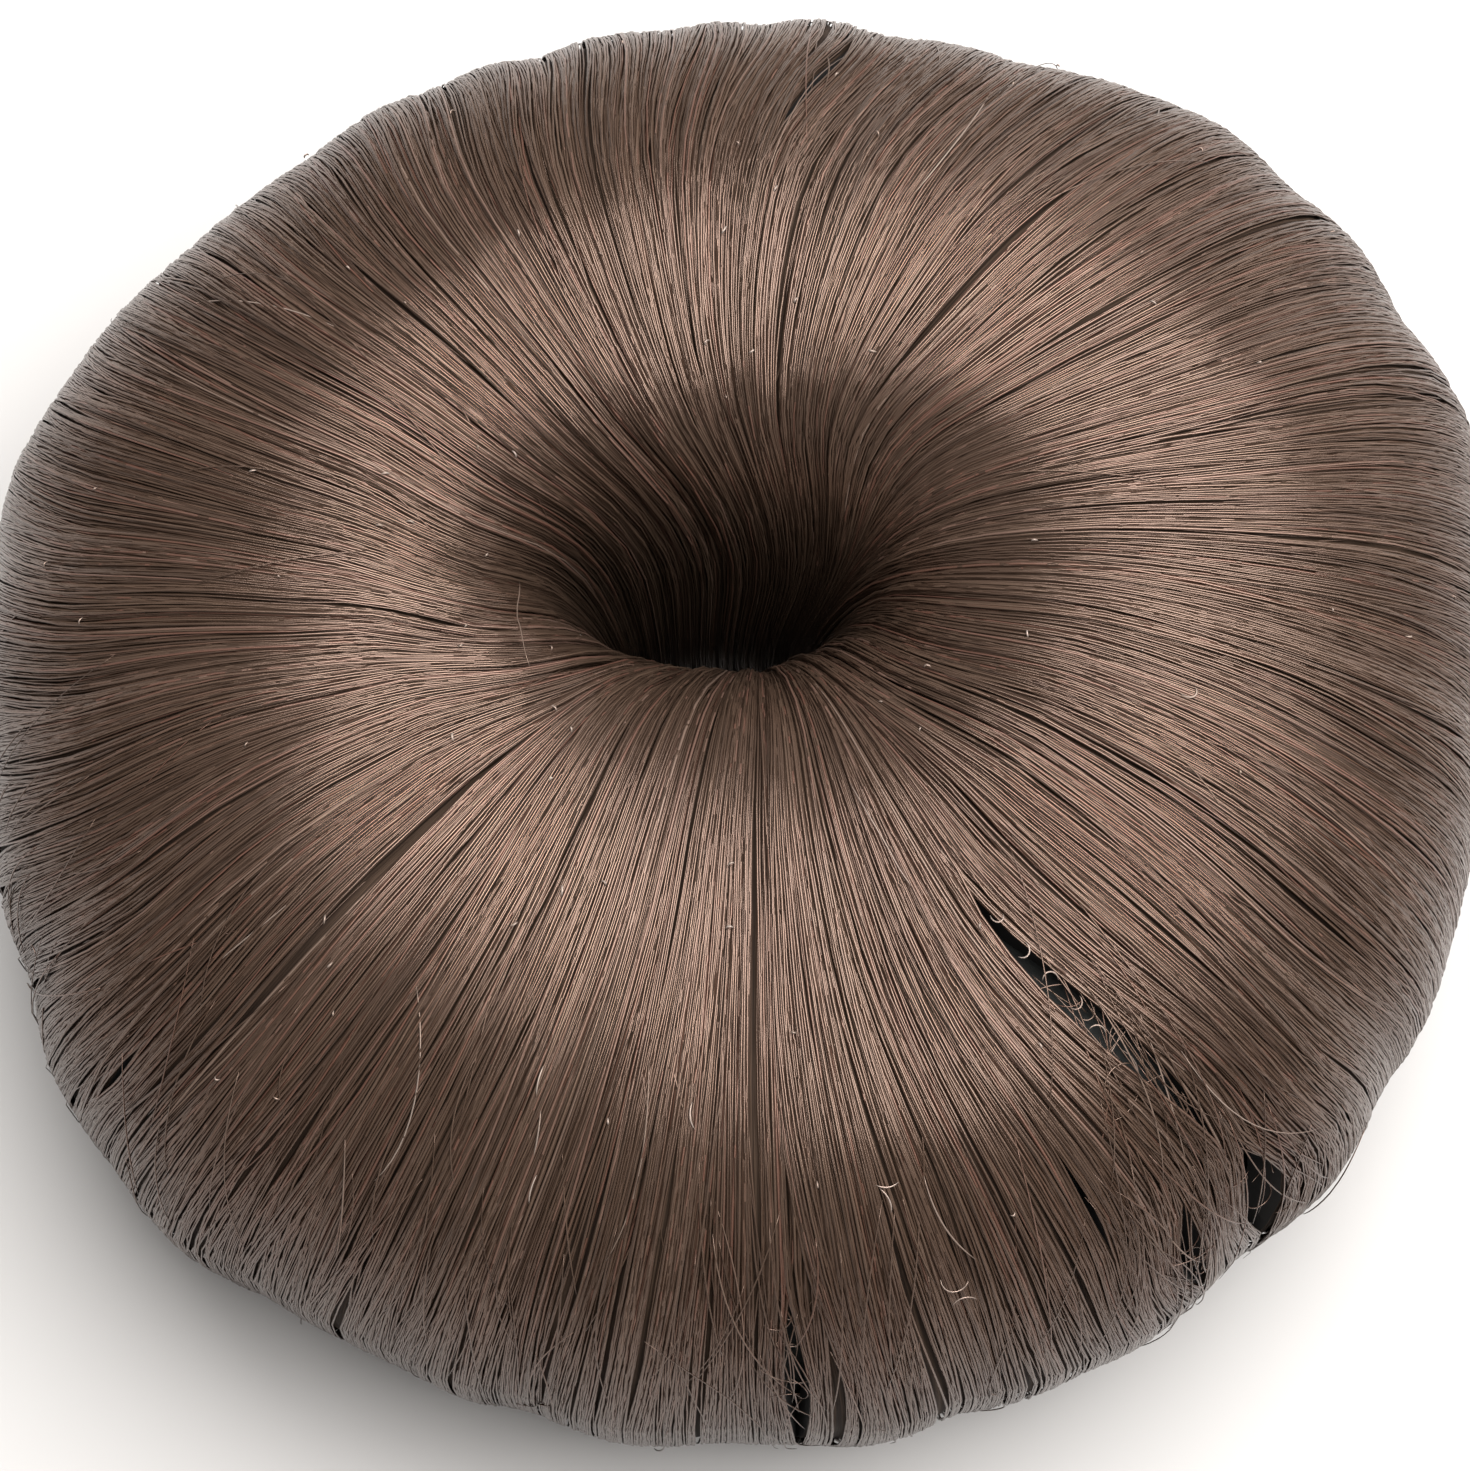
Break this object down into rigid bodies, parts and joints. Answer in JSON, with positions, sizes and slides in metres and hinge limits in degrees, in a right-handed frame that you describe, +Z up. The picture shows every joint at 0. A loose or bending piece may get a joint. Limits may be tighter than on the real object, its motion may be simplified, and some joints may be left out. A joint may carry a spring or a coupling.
{
  "type": "hair donut bun maker",
  "caption": "Ring-shaped hair bun of smooth brown synthetic hair, combed from a narrow central hole over a padded core and turned under, worn round a ponytail",
  "frame": {"origin": "middle of the ring's outline, on the surface that it rests on", "axes": "+Z up along the hole, -Y towards the front of the picture, +X to its right"},
  "size_m": [0.0938, 0.091, 0.0374],
  "materials": {
    "hair": "smooth dark brown synthetic hair with a silky sheen along the strands",
    "core": "black knitted cover over foam",
    "band": "red-brown woven tape",
    "piping": "red-brown twisted cord"
  },
  "bodies": {
    "root": {"hair_cover": "hair", "core_ring": "core", "base_band": "band", "edge_piping": "piping"}
  },
  "joints": []
}
